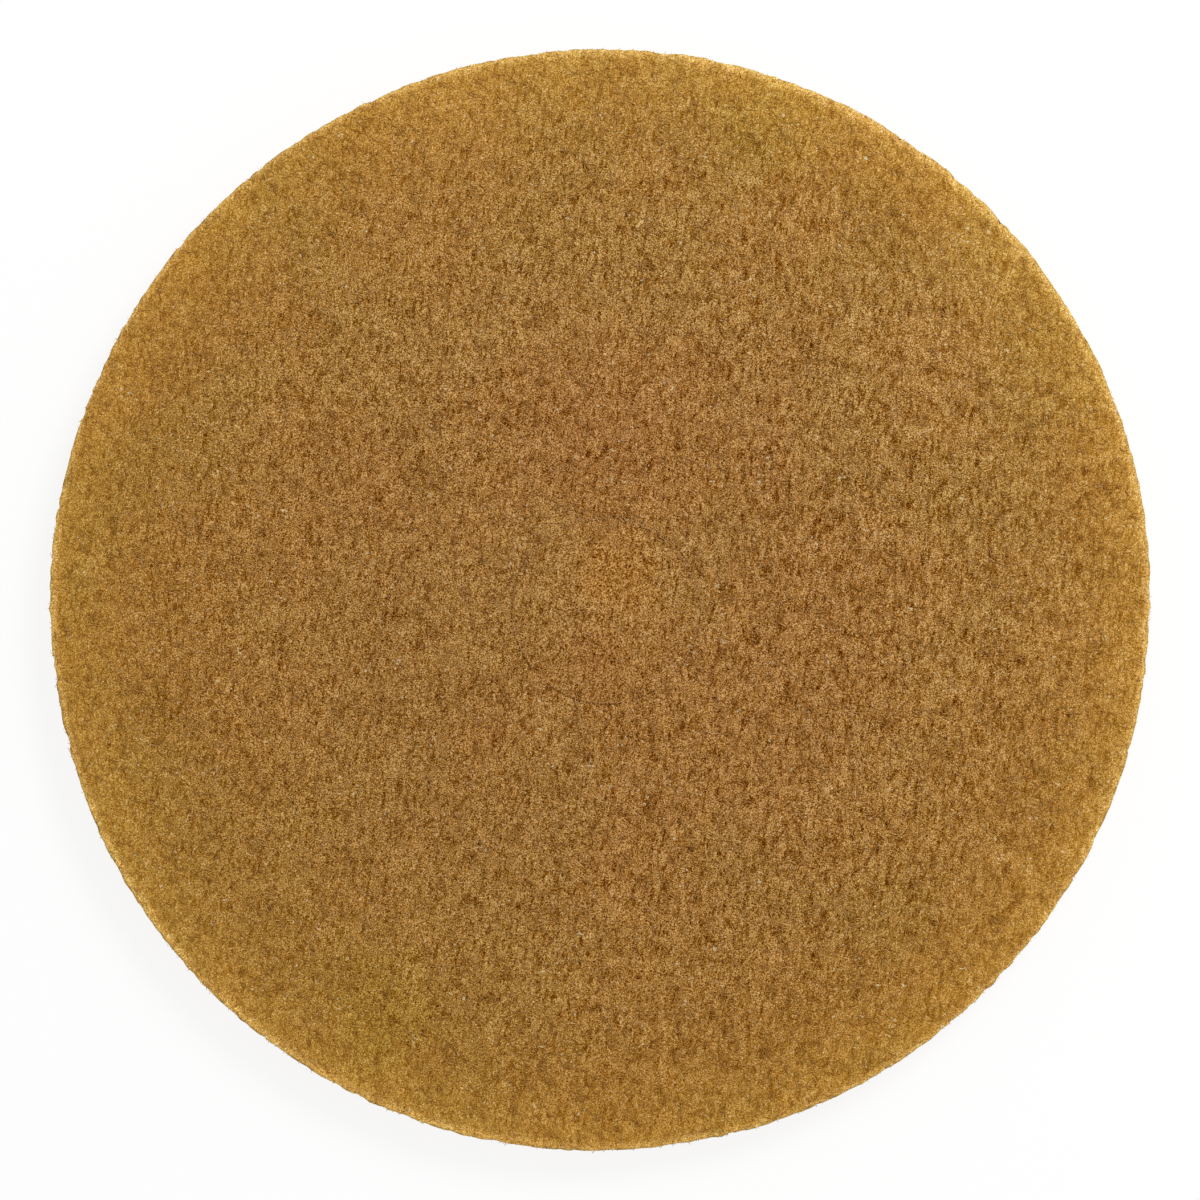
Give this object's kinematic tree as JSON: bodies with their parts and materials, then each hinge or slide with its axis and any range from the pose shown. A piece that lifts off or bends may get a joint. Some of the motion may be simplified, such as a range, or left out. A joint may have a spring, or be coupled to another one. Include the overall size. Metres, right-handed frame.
{
  "type": "floor polishing pad",
  "caption": "Round die-cut pad of lofty non-woven web for a rotary floor machine, with a knock-out centre plug held by uncut bridges.",
  "frame": {"origin": "centre of the pad's bounding box at its lower face", "axes": "+Z is the pad's axis, from the work face up to the driver face; +Y is the grain direction of the web; +X completes the right-handed frame"},
  "size_m": [0.482, 0.4826, 0.025],
  "materials": {
    "fibre": "matte, resin-bonded non-woven fibre"
  },
  "bodies": {
    "root": {"polishing_pad": "fibre"}
  },
  "joints": []
}
